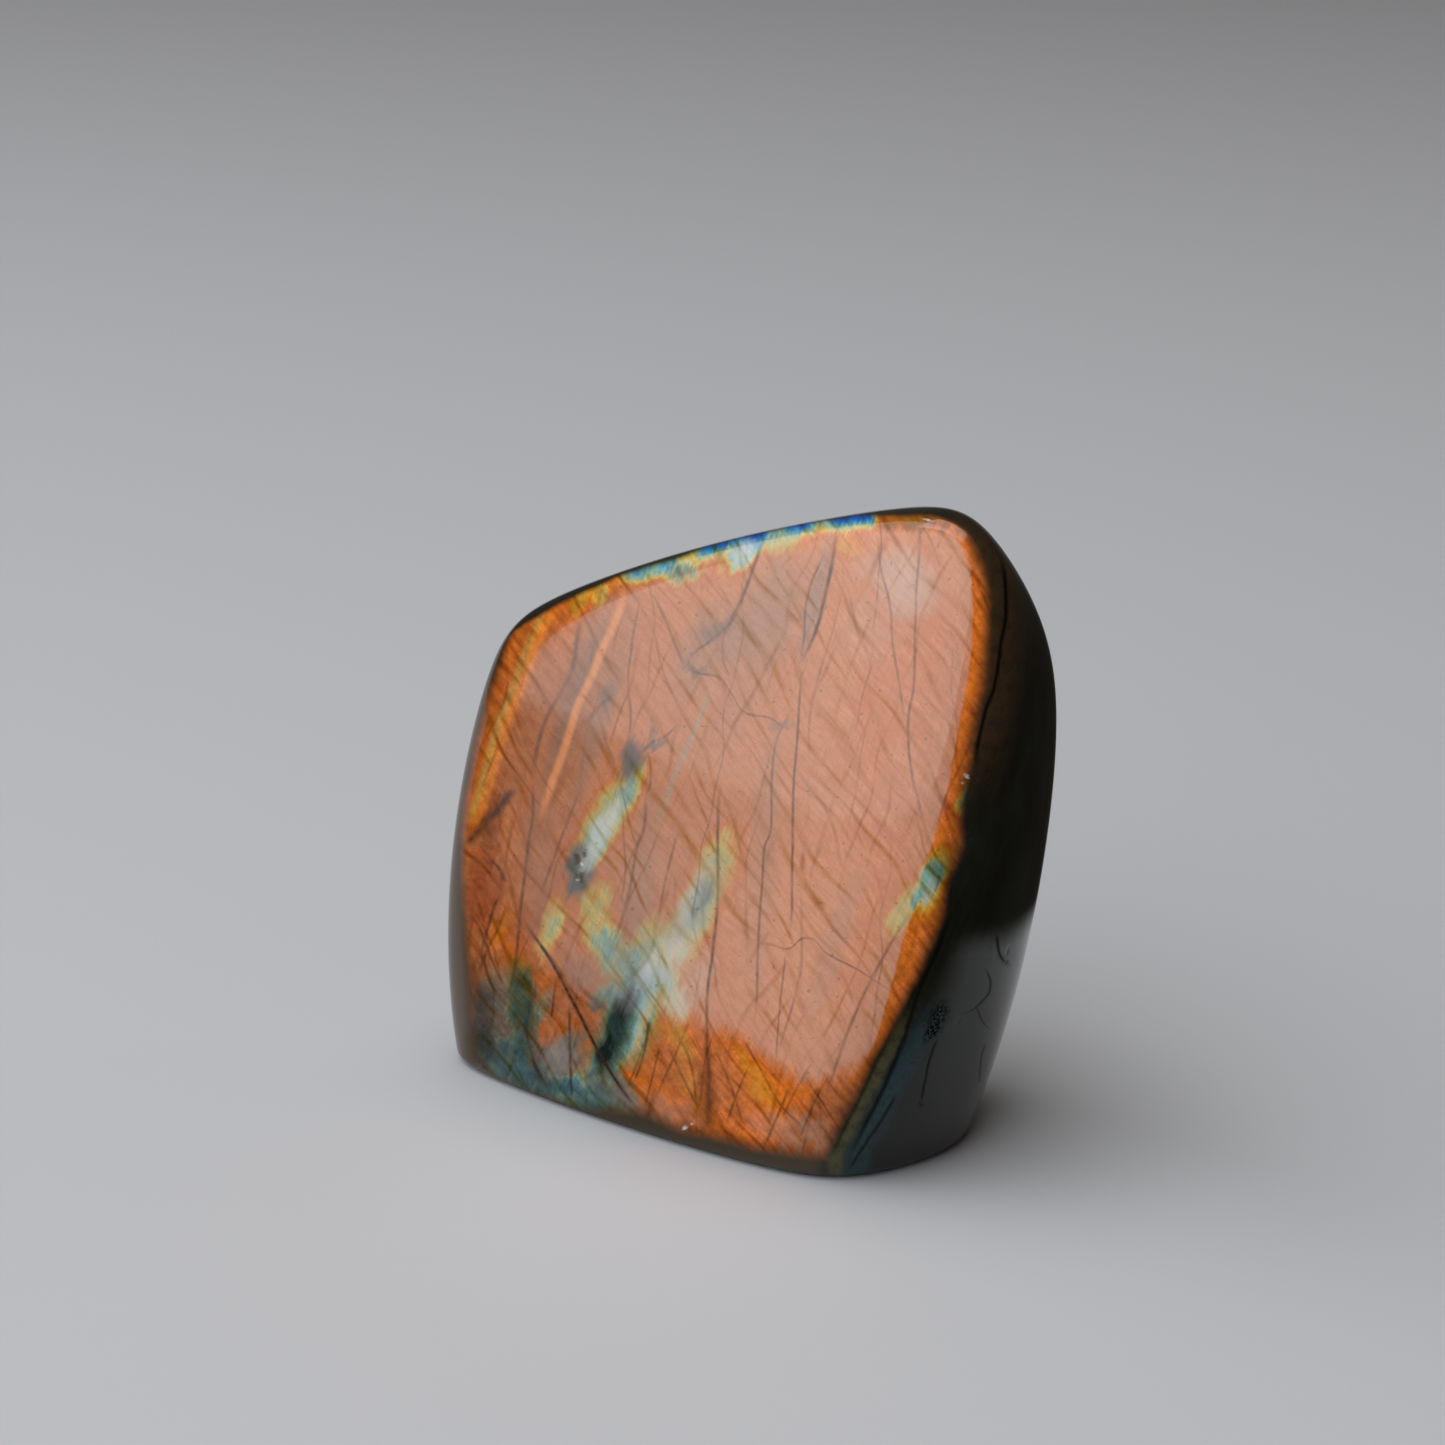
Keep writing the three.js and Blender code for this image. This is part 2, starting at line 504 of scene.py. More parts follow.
# Patches of another flash colour, as ovals: centre x and y, half sizes, turn of the long side
# (degrees clockwise from +x), and the step in spectral order, negative toward green.
PATCHES = {
    "streak a": (608, 817, 66, 22, -61, -0.4),
    "streak a, foot": (594, 852, 28, 13, -68, -0.16),
    "streak a, tip": (636, 780, 28, 12, -60, -0.16),
    "patch b": (710, 880, 66, 30, -64, -0.23),
    "patch b, head": (720, 852, 30, 16, -64, -0.1),
    "patch b, core": (702, 898, 26, 12, -62, -0.12),
    "patch b, tail": (690, 928, 44, 24, -70, -0.1),
    "gold streak": (550, 932, 40, 14, -76, -0.28),
    "between lobes": (572, 908, 30, 18, -70, -0.1),
    "left lobe": (598, 924, 48, 23, -88, -0.31),
    "lobe foot": (612, 952, 36, 20, 50, -0.17),
    "middle of c": (636, 960, 54, 36, -62, -0.2),
    "bridge of c": (666, 952, 66, 40, -54, -0.18),
    "blue of c": (637, 988, 30, 17, -64, -0.34),
    "dark teal": (616, 1034, 54, 21, -74, -0.46),
    "dark teal, edge": (642, 1024, 48, 15, -72, -0.34),
    "spot of c": (603, 996, 18, 14, -40, -0.3),
    "lilac": (675, 998, 34, 16, 68, -0.26),
    "dark teal, fringe": (653, 1036, 40, 12, -70, -0.14),
    "between": (577, 1046, 34, 16, -72, -0.1),
    "left teal": (522, 1010, 50, 19, 84, -0.43),
    "left teal, right": (543, 1006, 22, 9, -76, -0.22),
    "left murk": (492, 1022, 56, 20, -88, -0.26),
    "left low": (514, 1060, 52, 26, 24, -0.38),
    "heel": (560, 1092, 80, 22, 16, -0.42),
    "heel teal": (592, 1084, 44, 26, -60, -0.34),
    "heel tan": (562, 1052, 30, 18, -66, -0.1),
    "heel lilac": (612, 1086, 34, 18, 40, -0.2),
    "lower gold": (680, 1042, 30, 12, 54, -0.14),
    "lower gold, right": (762, 1088, 54, 15, 56, -0.1),
    "lower gold, left": (690, 1085, 40, 12, 60, -0.08),
    "top pale": (744, 556, 22, 15, -60, -0.4),
    "top yellow": (728, 566, 22, 11, -30, -0.18),
    "top grey": (682, 572, 26, 12, -15, -0.36),
    "top grey, left": (648, 576, 24, 9, -20, -0.22),
    "top straw": (850, 544, 20, 18, 0, -0.2),
    "top straw, left": (780, 546, 36, 12, -12, -0.24),
    "corner gold": (580, 600, 22, 9, -70, -0.2),
    "corner olive": (600, 595, 14, 9, -50, -0.24),
    "top right": (905, 521, 44, 10, 0, -0.12),
    "rim teal": (929, 889, 30, 15, -62, -0.3),
    "rim green": (939, 867, 26, 15, -62, -0.28),
    "rim fringe": (905, 907, 46, 13, -60, -0.24),
    "rim spot": (963, 800, 14, 7, -70, -0.36),
    "red left": (484, 890, 66, 24, -88, 0.2),
    "left orange": (498, 926, 30, 9, -68, -0.16),
    "tan left": (560, 860, 90, 34, -72, -0.03),
    "tan right": (900, 690, 150, 60, -76, -0.07),
    "tan low": (880, 920, 120, 50, -64, -0.06),
}

# Those patches stop at pale teal. These go on to blue, by a share of the way to the bluest.
DEEP_PATCHES = {
    "streak a": (606, 822, 22, 5, -64, 0.16),
    "blue of c": (638, 988, 22, 11, -64, 0.34),
    "dark teal": (612, 1030, 40, 13, -74, 0.16),
    "left blue": (506, 1058, 34, 17, 30, 0.26),
    "heel blue": (552, 1084, 34, 15, 14, 0.26),
    "heel": (590, 1096, 30, 14, 14, 0.14),
    "top pale": (742, 566, 18, 7, -60, 0.2),
}

# Ovals where the flash is dull or bright, with the change in brightness.
SHADES = {
    "left murk": (480, 1004, 64, 18, -88, -0.34),
    "left dusk": (490, 822, 34, 15, -80, -0.22),
    "left teal": (522, 1008, 48, 17, 84, -0.6),
    "left low": (510, 1062, 64, 26, 24, -0.36),
    "heel blue": (566, 1098, 60, 22, 14, -0.2),
    "heel middle": (612, 1102, 50, 18, 14, -0.22),
    "dark teal": (615, 1034, 50, 17, -74, -0.8),
    "blue of c": (632, 992, 30, 12, -64, -0.26),
    "lobe": (597, 924, 34, 14, -88, 0.1),
    "gold streak": (550, 932, 36, 13, -76, 0.32),
    "corner": (560, 606, 40, 12, -28, -0.14),
    # Painted light: a broad brightening low on the face.
    "painted light, low": (800, 970, 200, 130, -50, 0.2),
    "dark teal, low": (603, 1058, 24, 16, -70, -0.24),
    "left warm": (492, 958, 36, 16, -80, 0.24),
    "between": (577, 1032, 46, 18, -76, -0.16),
    "dark teal, fringe": (653, 1038, 40, 13, -70, -0.2),
    "lower shade": (706, 1096, 40, 13, 90, -0.44),
    "foot shade": (812, 1126, 60, 30, -40, -0.26),
    "foot shade, left": (680, 1120, 60, 16, 22, -0.22),
    "rim dusk": (943, 862, 30, 14, -62, -0.66),
    "right rim": (976, 650, 120, 12, -84, 0.2),
    "left middle": (580, 715, 70, 30, -72, -0.09),
    "left rim": (474, 740, 110, 14, -74, -0.16),
    "top right": (926, 519, 60, 13, 0, -0.66),
    "heel tan": (562, 1054, 30, 22, -66, 0.06),
}

# Ovals of grey haze over the colour, with its amount.
HAZES = {
    "upper haze": (706, 648, 60, 30, -60, 0.36),
    "left of ribbon": (578, 680, 110, 14, -72, 0.4),
    "right of ribbon": (600, 722, 120, 13, -72, 0.36),
    "wedge": (817, 594, 80, 10, -76, 0.5),
    "middle slack": (640, 880, 100, 16, -80, 0.3),
    "right slack": (836, 940, 80, 16, -72, 0.26),
    "middle": (757, 640, 120, 30, -72, 0.2),
    "middle low": (765, 850, 150, 16, -86, 0.2),
    "patch b": (702, 896, 50, 22, -64, 0.3),
    "left murk": (488, 1004, 70, 26, -88, 0.45),
    "left low": (506, 1056, 60, 34, 24, 0.34),
    "heel tan": (560, 1056, 34, 24, -60, 0.46),
    "between teals": (574, 990, 44, 22, -62, 0.36),
    "beside dark teal": (591, 1018, 30, 13, -70, 0.3),
    "foot right": (828, 1114, 50, 26, -50, 0.32),
    "low dusk": (698, 1072, 76, 42, 36, 0.26),
    "bridge": (684, 922, 34, 20, -56, 0.34),
    "upper mid": (775, 612, 70, 40, -60, 0.24),
    "middle of c": (640, 955, 60, 34, -60, 0.2),
    "left of gold": (520, 730, 110, 26, -72, 0.2),
    "heel": (590, 1096, 44, 18, 14, 0.3),
    "heel lilac": (612, 1086, 34, 18, 40, 0.5),
}

# Slate-grey smudges, with their amount.
SMUDGES = {
    "inclusion": (579, 871, 30, 16, -86, 1.25),
    "high": (632, 761, 19, 14, -80, 0.95),
    "higher": (655, 745, 15, 7, 0, 0.7),
    "higher, tail": (652, 730, 14, 5, -86, 0.45),
    "upper": (716, 631, 22, 11, -25, 0.5),
    "upper net": (694, 670, 15, 6, 20, 0.5),
    "left of ribbon": (606, 698, 14, 9, -60, 0.4),
    "patch b eye": (703, 895, 18, 10, -62, 0.72),
    "spot of c": (603, 997, 15, 11, -40, 0.6),
    "top grey": (684, 572, 18, 8, -15, 0.5),
    "middle net": (780, 725, 12, 7, 10, 0.4),
}

# Near-white patches in the flash, with their amount; the three at the upper right are painted
# highlights.
PALE_FLASH_AND_HIGHLIGHTS = {
    "streak a": (602, 832, 48, 12, -63, 0.66),
    "lilac": (675, 996, 30, 14, 68, 0.32),
    "right of lilac": (694, 982, 40, 18, -66, 0.24),
    "low pink, left": (655, 1112, 54, 20, 16, 0.14),
    "low pink, right": (792, 1130, 48, 20, 14, 0.18),
    "middle of c": (664, 962, 40, 20, -60, 0.4),
    "teal of c": (645, 972, 30, 8, -64, 0.36),
    "teal edge": (642, 1022, 36, 7, -72, 0.26),
    "top pale": (744, 556, 18, 12, -60, 0.56),
    "patch b": (694, 892, 34, 12, -60, 0.26),
    "heel tan": (560, 1054, 26, 18, -60, 0.16),
    "patch b, tail": (688, 930, 40, 18, -70, 0.24),
    "rim teal": (928, 891, 15, 7, -64, 0.55),
    # Painted highlights, soft and whitish, at the upper right of the face.
    "painted highlight": (908, 584, 40, 30, 60, 0.34),
    "painted highlight, left": (872, 566, 26, 20, 60, 0.12),
    "painted highlight, low": (874, 628, 44, 34, -70, 0.11),
}

# Tiny painted glints on the inclusion, chips and arris, with their amount.
PAINTED_GLINTS = {
    "inclusion": (581, 864, 3, 1.6, 30, 1),
    "inclusion, low": (577, 880, 2, 1.3, 0, 0.7),
    "arris": (967, 776, 4, 2.2, 40, 0.8),
    "arris, low": (962, 783, 2, 1.5, 0, 0.6),
    "foot": (685, 1128, 4, 2, -30, 0.9),
    "foot, right": (692, 1124, 2, 1.4, 0, 0.7),
    "top": (928, 520, 6, 1.5, 12, 0.9),
}

# Painted shade: the flash darkens toward the left. x pixel, brightness.
PAINTED_SHADE_TO_LEFT = [
    (455, 0.52), (500, 0.6), (540, 0.66), (580, 0.73), (640, 0.81), (720, 0.87), (800, 0.94),
    (880, 0.98),
]

# The painted reflection thins out toward the left: x pixel, share of painted white.
PAINTED_SHEEN_SHARE = [(480, 0.02), (540, 0.05), (620, 0.11), (700, 0.15), (800, 0.16), (900, 0.18)]

# Cracks and cleavage lines on the face: half width in pixels, darkness, points.
CRACKS = {
    "long middle": (1.3, 0.66, [
        (802, 664), (799, 708), (796, 757), (793, 805), (793, 836), (792, 868), (792, 897), (790, 936)]),
    "wedge, right": (1.8, 0.8, [(837, 531), (832, 563), (826, 590), (818, 624), (800, 666)]),
    "wedge, left": (1.2, 0.5, [(824, 553), (806, 604), (804, 635), (800, 664)]),
    "upper right": (1.4, 0.55, [
        (918, 519), (919, 546), (916, 598), (914, 684), (908, 728), (911, 767), (918, 800), (928, 837)]),
    "right curve": (1.3, 0.48, [(878, 534), (880, 562), (890, 606), (893, 646), (899, 682), (905, 725)]),
    "top hook": (1.7, 0.66, [(764, 538), (755, 563), (746, 588), (736, 611), (727, 623)]),
    "level vein": (1.1, 0.45, [
        (684, 667), (698, 673), (718, 677), (732, 694), (746, 713), (770, 718), (780, 725), (792, 730)]),
    "centre left": (1.3, 0.52, [
        (796, 703), (784, 723), (775, 749), (772, 781), (771, 829), (764, 849), (762, 885), (758, 945),
        (757, 994), (754, 1025)]),
    "net, level": (1.1, 0.5, [
        (758, 943), (773, 945), (786, 949), (806, 938), (826, 953), (858, 970), (893, 993)]),
    "net, drop": (1, 0.45, [(786, 950), (781, 994), (778, 1030), (776, 1062)]),
    "long left of centre": (1.6, 0.66, [
        (722, 780), (718, 825), (718, 874), (713, 952), (707, 1013), (707, 1037), (709, 1081),
        (708, 1130)]),
    "long left, foot": (3, 0.55, [(707, 1020), (707, 1048), (709, 1081), (708, 1130)]),
    "right foot": (1.6, 0.5, [
        (913, 907), (889, 947), (870, 982), (858, 1007), (846, 1036), (826, 1098)]),
    "foot branch": (1.3, 0.6, [(790, 1086), (778, 1115), (765, 1147)]),
    "dark diagonal": (1.7, 0.95, [
        (521, 914), (530, 930), (544, 950), (557, 971), (578, 1012), (601, 1056), (629, 1099),
        (640, 1114)]),
    "left long": (1.7, 0.66, [
        (533, 775), (533, 807), (529, 840), (525, 874), (520, 914), (516, 961), (511, 990)]),
    "left of ribbon": (2.2, 0.6, [
        (581, 613), (577, 640), (573, 667), (564, 687), (550, 711), (542, 730), (536, 754), (533, 778)]),
    "middle left": (1.6, 0.52, [(646, 793), (644, 829), (637, 847), (629, 892), (620, 925), (609, 952)]),
    "middle left, twin": (1.1, 0.4, [(620, 784), (631, 829), (637, 848)]),
    "short streak": (1.3, 0.42, [(678, 831), (664, 887), (658, 923)]),
    "rim wedge": (1.5, 0.62, [(482, 953), (488, 974), (496, 994)]),
    "rim slant": (1.5, 0.6, [(500, 894), (494, 907), (486, 934), (481, 953)]),
    "rim net": (1.6, 0.55, [(489, 858), (500, 871), (505, 883)]),
    "heel upright": (1.5, 0.7, [(569, 1004), (570, 1052), (572, 1104)]),
    "heel short": (1.3, 0.65, [(556, 980), (551, 1020)]),
    "teal edge": (1.5, 0.66, [(650, 1016), (644, 1052), (634, 1083)]),
    "teal edge, right": (1.2, 0.55, [(660, 1044), (653, 1075), (644, 1109)]),
    "upright left": (1.3, 0.46, [(640, 600), (631, 651), (628, 686), (631, 713), (624, 751)]),
    "rim smear": (4.2, 0.8, [(514, 786), (497, 811), (484, 824), (474, 836), (464, 848)]),
    "left lean": (1.4, 0.46, [(579, 792), (571, 813), (561, 838), (551, 867), (541, 894)]),
    "high net": (1.5, 0.46, [(651, 591), (662, 612), (676, 647), (685, 668)]),
    "right thin": (1, 0.36, [(874, 660), (864, 690), (856, 730)]),
    "low right net": (1, 0.42, [(820, 1068), (836, 1092), (852, 1112)]),
    "low right net, b": (1.2, 0.5, [(742, 1036), (764, 1076), (780, 1104), (806, 1130)]),
    "low right net, c": (1.2, 0.5, [(812, 1062), (796, 1090), (782, 1118)]),
    "low left net": (1.3, 0.5, [(676, 1030), (692, 1070), (697, 1110)]),
    "heel dark": (1.6, 0.6, [(524, 1020), (532, 1056), (541, 1078)]),
    "upper branch": (1.8, 0.45, [(742, 600), (731, 622), (712, 640), (695, 652), (684, 664)]),
    "upper branch, drop": (1.3, 0.4, [(727, 624), (723, 648), (730, 678)]),
    "high smudge, lean": (1.5, 0.5, [(640, 754), (652, 742), (664, 737), (678, 724)]),
    "high smudge, drop": (1.2, 0.45, [(649, 752), (651, 774), (646, 796)]),
    "brown lean": (2.2, 0.36, [(614, 694), (598, 708), (584, 726)]),
    "inclusion, specks": (2.6, 0.95, [(575, 853), (577, 860), (574, 866)]),
    "inclusion, right": (2.2, 0.95, [(584, 851), (585, 858)]),
    "inclusion, low": (2.4, 0.95, [(583, 871), (581, 880), (582, 884)]),
    "rim cross": (1.4, 0.55, [(470, 912), (480, 930), (492, 960), (506, 990)]),
    "rim cross, back": (1.4, 0.5, [(507, 905), (497, 930), (487, 950), (478, 975)]),
    "teal lean": (1.2, 0.5, [(652, 1020), (640, 1056), (628, 1086)]),
    "orange lean": (1.3, 0.5, [(690, 1020), (672, 1062), (655, 1100)]),
    "orange net": (1.3, 0.5, [(668, 1046), (684, 1080), (700, 1112)]),
    "orange net, right": (1.3, 0.5, [(716, 1050), (732, 1090), (744, 1126)]),
    "orange rise": (1.3, 0.5, [(748, 1066), (736, 1096), (726, 1126)]),
    "orange rise, far": (1.2, 0.45, [(828, 1076), (812, 1108), (800, 1138)]),
}

# Lines on the dark end, beyond the face's edge.
SIDE_LINES = {
    "rim crack": (2, 0.95, [
        (992, 545), (1004, 572), (1006, 605), (1001, 643), (995, 681), (986, 710), (979, 739),
        (972, 775)]),
    "rim crack, low": (2.2, 0.8, [
        (952, 905), (938, 950), (922, 985), (905, 1035), (888, 1078), (868, 1118), (848, 1162)]),
    "rim line": (1.8, 0.55, [(896, 1020), (880, 1056), (857, 1102), (837, 1143), (829, 1160)]),
    "side crack": (1.3, 0.7, [(938, 1036), (930, 1060), (925, 1085), (921, 1105)]),
    "side net": (1, 0.6, [(944, 1018), (962, 1014), (980, 1004), (991, 984), (986, 968)]),
    "side net, high": (1.5, 0.8, [(996, 934), (999, 952), (1007, 965)]),
    "side net, low": (1, 0.45, [(986, 1042), (980, 1064), (979, 1084)]),
    "side net, rise": (0.9, 0.45, [(976, 1006), (984, 1024), (992, 1030)]),
    "foot seam": (1.6, 0.7, [(897, 1092), (880, 1122), (862, 1150), (848, 1172)]),
}

# Ovals on the dark end where the polish is broken, with the amount.
BROKEN_POLISH = {
    "smudge": (938, 1018, 22, 11, -66, 0.95),
    "smudge, low": (930, 1034, 14, 6, -50, 0.7),
    "smudge, foot": (921, 1104, 5, 3, -70, 0.8),
    "specks": (1004, 961, 9, 4, 40, 0.6),
    "arris specks": (912, 1000, 20, 5, -66, 0.5),
}


# How far a line fades out on each side, in half widths.
LINE_SOFTNESS = 1.9


def across_line(place, points):
    """How far a point lies across a line of pixels, and its share along it, 0 to 1 on the line."""
    x, y = place
    steep = abs(points[-1][1] - points[0][1]) >= abs(points[-1][0] - points[0][0])
    along, across = (y, x) if steep else (x, y)
    line = [(py, px) if steep else (px, py) for px, py in points]
    run = abs(line[-1][0] - line[0][0])
    slant = run / math.hypot(run, line[-1][1] - line[0][1])
    ins = [at for at, _ in line]
    share = share_along(along, min(ins), max(ins))
    return absolute(across - curve_along(share, line)), share, slant


def line_mark(place, half_width, darkness, points):
    """One line, full along its middle and fading at both ends."""
    apart, share, slant = across_line(place, points)
    mark = ramp(apart, half_width * LINE_SOFTNESS / slant, 0, 0, darkness)
    return mark * band(share, 0.5, 0.52, 0.34)


def lines_on(place, lines):
    """The darkest of a set of lines."""
    darkest = 0
    for line in lines.values():
        darkest = largest(darkest, line_mark(place, *line))
    return darkest


def patch_terms(x, y):
    """The terms that any oval over the pixels x, y is worked out from."""
    x = share_along(x, FACE_MIDDLE[0], FACE_MIDDLE[0] + OVAL_UNIT)
    y = share_along(y, FACE_MIDDLE[1], FACE_MIDDLE[1] + OVAL_UNIT)
    return vector(x * x, x * y, y * y), vector(x, y, 1)


def patch_sum(terms, patches):
    """The sum of soft-edged oval patches."""
    squares, firsts = terms
    total = 0
    for across, down, length, breadth, turn, strength in patches.values():
        c, s = math.cos(math.radians(turn)), math.sin(math.radians(turn))
        long_side, short_side = OVAL_UNIT / length, OVAL_UNIT / breadth
        middle_x = (across - FACE_MIDDLE[0]) / OVAL_UNIT
        middle_y = (down - FACE_MIDDLE[1]) / OVAL_UNIT
        xx = (c * long_side) ** 2 + (s * short_side) ** 2
        yy = (s * long_side) ** 2 + (c * short_side) ** 2
        xy = 2 * c * s * (long_side**2 - short_side**2)
        just_x = -2 * xx * middle_x - xy * middle_y
        just_y = -2 * yy * middle_y - xy * middle_x
        fixed = xx * middle_x**2 + yy * middle_y**2 + xy * middle_x * middle_y
        reach = dot(squares, (xx, xy, yy)) + dot(firsts, (just_x, just_y, fixed))
        total = ramp(reach, 1.4, -0.1, 0, strength) + total
    return total


def streaks(place, lean, across, along, seed, detail=2):
    """Noise drawn out along one direction: lean is in degrees clockwise from +x."""
    x, y = place
    c, s = math.cos(math.radians(lean)), math.sin(math.radians(lean))
    forward = math_node("MULTIPLY_ADD", x, c / along, y * (s / along))
    sideways = math_node("MULTIPLY_ADD", x, -s / across, y * (c / across))
    return noise(vector(forward, sideways, seed), 1, detail)


def veins(place, lean, across, along, seed, half_width):
    """Soft wandering lines, where drawn-out noise passes through its middle value."""
    return ramp(absolute(streaks(place, lean, across, along, seed, 1) - 0.5), half_width, 0)


def long_veins(place, lean, spacing, length, sway, half_width, seed, present_from=0.34):
    """Near-parallel lines that lean one way, sway sideways, and each come and go."""
    x, y = place
    c, s = math.cos(math.radians(lean)), math.sin(math.radians(lean))
    swaying = streaks(place, lean, 4 * spacing, length, seed, 1)
    sideways = math_node("MULTIPLY_ADD", x, -s / spacing, swaying * sway)
    sideways = math_node("MULTIPLY_ADD", y, c / spacing, sideways)
    apart = math_node("PINGPONG", sideways, 0.5)
    present = streaks(place, lean, 0.8 * spacing, 0.6 * length, seed + 5, 2)
    present = ramp(present, present_from, present_from + 0.3)
    return ramp(apart, LINE_SOFTNESS * half_width / spacing, 0) * present


# The flash colours in spectral order, from the dark blue end to the copper-red end.
SPECTRUM = [
    (0, (10, 30, 70)),
    (0.08, (4, 50, 140)),
    (0.17, (0, 92, 210)),
    (0.26, (52, 140, 190)),
    (0.34, (116, 168, 164)),
    (0.42, (166, 180, 136)),
    (0.5, (208, 184, 94)),
    (0.58, (218, 152, 44)),
    (0.66, (216, 116, 26)),
    (0.74, (212, 112, 44)),
    (0.8, (214, 128, 74)),
    (0.9, (194, 104, 60)),
    (1, (130, 50, 24)),
]
# Places in that order: the plain face, where patches stop, and where deep patches stop.
BASE_ORDER = 0.8
PALEST_ORDER = 0.36
BLUEST_ORDER = 0.17

# The white of the painted reflection over the face.
PAINTED_SHEEN = (228, 228, 224)
# The near-white of the pale flash, and of the painted highlights and glints.
PALE_FLASH_AND_GLINT = (214, 216, 210)
HAZE = (132, 118, 110)
SMUDGE = (66, 74, 76)
GOLD = (226, 130, 40)
OLIVE = (176, 142, 66)
ORANGE = (224, 140, 84)
PALE_GREEN = (166, 156, 130)
BODY_DARK = (24, 25, 19)
BODY_PALE = (46, 52, 44)
BODY_BACK = (72, 78, 70)
BROWN_GLOW = (78, 58, 38)
# The left rim's brown, lightened by painted reflection.
LEFT_RIM_BROWN_AND_REFLECTION = (76, 56, 34)
RIM_LOW = (70, 62, 50)
TEAL_STRIPE = (34, 66, 74)
GOLD_STRIPE = (88, 84, 54)
CRACK_BROWN = (58, 38, 28)
CRACK_GREY = (94, 78, 72)
CRACK_BLACK = (12, 11, 9)
VEIN_GOLD = (206, 184, 112)
VEIN_BROWN = (164, 134, 84)

# Drawn-out noise: lean in degrees clockwise from +x, size across and along in pixels, seed.
FEATHER = (-70, 5, 52, 3)
FEATHER_BROAD = (-64, 14, 70, 5)
FEATHER_FINE = (-74, 2.4, 30, 9)
FIBRES = (58, 6, 60, 87)
FINE_BARBS = (50, 8, 42, 33)
FINE_BARB_WIDTH = 0.1

# Cleavage lines: lean, spacing, length, sway, half width, seed, and how rarely they show.
BARBS = (56, 17, 170, 3.4, 2.4, 21, 0.38)
STEEP_BARBS = (66, 29, 210, 3, 1.8, 28, 0.4)
RISERS = (-69, 24, 210, 3, 1.8, 45, 0.4)
LONG_CRACKS = (-84, 44, 280, 1.6, 1.1, 52, 0.42)

# The polish: index of refraction, roughness at its best and worst, and more underneath.
STONE_IOR = 1.56
POLISH_BEST = 0.07
POLISH_WORST = 0.13
UNDERSIDE_MATT = 0.3


def skin_place():
    """Where each point of the skin lies, with the noise that moves and feathers its marks."""
    at = SimpleNamespace()
    sighting = node("ShaderNodeAttribute", attribute_name="sighting")
    at.sight = Wire(sighting.outputs["Vector"])
    at.x, at.y, facing = parts_of(at.sight)
    at.in_mm = object_place()
    at.mm_x, at.mm_y, at.mm_z = parts_of(at.in_mm)
    at.seen = ramp(facing, 0.02, 0.12)

    # Lines wander a little, and patches are feathered along the twin planes.
    at.wander = noise(at.sight, 0.02, 2)
    at.shake = noise(at.sight, 0.1, 1)
    at.line_x = at.x + (at.wander - 0.5) * 4 + (at.shake - 0.5) * 1.2
    at.line_y = at.y + (at.wander - 0.5) * 3
    feather = streaks((at.x, at.y), *FEATHER)
    feather_broad = streaks((at.x, at.y), *FEATHER_BROAD)
    at.feather_fine = streaks((at.x, at.y), *FEATHER_FINE)
    blur = noise(at.sight, 0.05, 3)
    push = math_node("MULTIPLY_ADD", feather, 20, (at.feather_fine - 0.5) * 6 - 25)
    push = math_node("MULTIPLY_ADD", feather_broad, 30, push)
    at.patch_x = at.x + push * 0.34 + (blur - 0.5) * 14
    at.patch_y = at.y - push * 0.94 + (at.wander - 0.5) * 14
    at.patch_place = patch_terms(at.patch_x, at.patch_y)
    return at


def painted_sheen_mask(at):
    """1 inside the painted reflection on the face, 0 on its deeper-coloured rims."""
    right = ramp(at.line_x - curve(at.line_y, SHEEN_RIGHT), 1, -2)
    left = ramp(at.patch_x - curve(at.line_y, SHEEN_LEFT), -34, 34)
    low = ramp(at.patch_y - curve(at.line_x, SHEEN_BOTTOM), 14, -14)
    top_slow = ramp(at.x, 580, 720, 0.5, 1) * ramp(at.x, 860, 900, 1, 0.75)
    top = ramp(at.top_depth * top_slow, 5, 19)
    return smallest(right, left, low, top)


def flash_order(at):
    """The flash's place in spectral order."""
    at.top_depth = at.line_y - curve(at.line_x, FLASH_TOP)
    rim_push = (at.feather_fine - 0.5) * 9
    rim_blue = curve(at.x + rim_push, TOP_RIM_BLUE) * ramp(at.top_depth + rim_push, 25, 3)
    # Where the painted reflection lies on the face.
    at.sheen = painted_sheen_mask(at)
    at.clouds = noise(at.sight, 0.012, 3)
    at.drift = noise(at.sight, 0.03, 3, 0.6)
    order = patch_sum(at.patch_place, PATCHES)
    order = order + (at.feather_fine - 0.5) * ramp(order, -0.05, -0.35, 0.08, 0.36)
    bend = noise(at.sight, 0.009, 1)
    at.bent = ((bend - 0.5) * 40 + at.x, at.y)
    at.fibres = streaks(at.bent, *FIBRES)
    order = order + (at.clouds - 0.5) * 0.14 + (at.drift - 0.5) * 0.14 + (at.fibres - 0.5) * 0.14
    order = order + BASE_ORDER
    order = order - (1 - at.sheen) * ramp(order, 0.5, 0.75, 0, 0.08)
    order = largest(order, PALEST_ORDER)
    deep = largest(patch_sum(at.patch_place, DEEP_PATCHES), rim_blue)
    return order + (BLUEST_ORDER - order) * deep


